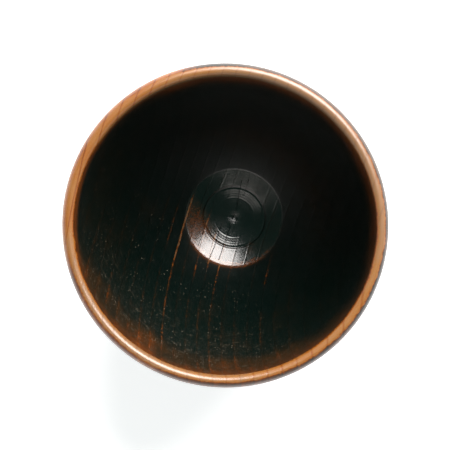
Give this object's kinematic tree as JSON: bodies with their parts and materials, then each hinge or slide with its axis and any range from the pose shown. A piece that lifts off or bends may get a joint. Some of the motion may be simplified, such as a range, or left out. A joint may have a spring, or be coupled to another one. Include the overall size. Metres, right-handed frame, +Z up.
{
  "type": "wooden cup",
  "caption": "Handleless drinking cup turned from one piece of wood, near-black stained inside with a bare rounded lip, a shallow dish in its floor and a recessed foot.",
  "frame": {"origin": "middle of the foot's resting plane, on the turning axis", "axes": "+Z up along the turning axis, out of the mouth; +X and +Y are any level pair, as the cup is round"},
  "size_m": [0.084, 0.084, 0.076],
  "materials": {
    "cup_wood": "stained near-black and oiled to a satin inside, dark brown outside, with orange-red grain showing through and the lip rubbed back to orange tan"
  },
  "bodies": {
    "root": {"cup": "cup_wood"}
  },
  "joints": []
}
